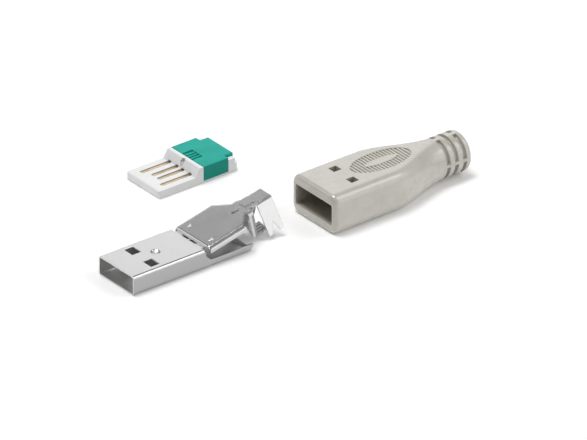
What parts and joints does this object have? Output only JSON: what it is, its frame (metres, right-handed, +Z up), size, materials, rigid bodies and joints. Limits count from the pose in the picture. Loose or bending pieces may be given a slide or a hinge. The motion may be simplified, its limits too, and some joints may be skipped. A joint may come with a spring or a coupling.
{
  "type": "field-assembly usb-a plug",
  "caption": "Unassembled cable plug: folded steel shell with a hinged clamp cover, contact insert with green wire holder, and a soft tapered hood.",
  "frame": {"origin": "centre of the bottom of the whole set's box, on the surface that it lies on", "axes": "+X from the mating end of the shell towards the cable end of the hood, +Z up, +Y towards the contact insert"},
  "size_m": [0.0878, 0.047, 0.0092],
  "materials": {
    "shell_steel": "bright nickel-plated sheet, faint rolling lines",
    "cover_steel": "nickel-plated sheet, satin",
    "white_plastic": "white moulded thermoplastic",
    "contact_gold": "gold-plated copper alloy",
    "green_plastic": "green, slightly translucent moulded thermoplastic",
    "hood_plastic": "soft warm light grey moulded vinyl, satin"
  },
  "bodies": {
    "plug": {"plug_shell": "shell_steel", "insulator": "white_plastic", "contact_power": "contact_gold", "contact_data_minus": "contact_gold", "contact_data_plus": "contact_gold", "contact_ground": "contact_gold", "hood": "hood_plastic"},
    "cover": {"rear_cover": "cover_steel"},
    "holder": {"wire_holder": "green_plastic"}
  },
  "joints": [
    {"name": "cover_fold", "type": "hinge", "parent": "plug", "child": "cover", "pos_m": [-0.0246, -0.0115, 0.00435], "axis": [0, -1, 0], "range_deg": [-12.5, 30]},
    {"name": "wire_holder_lift", "type": "slide", "parent": "plug", "child": "holder", "axis": [0, 0, 1], "range_m": [0, 0.0032]}
  ]
}
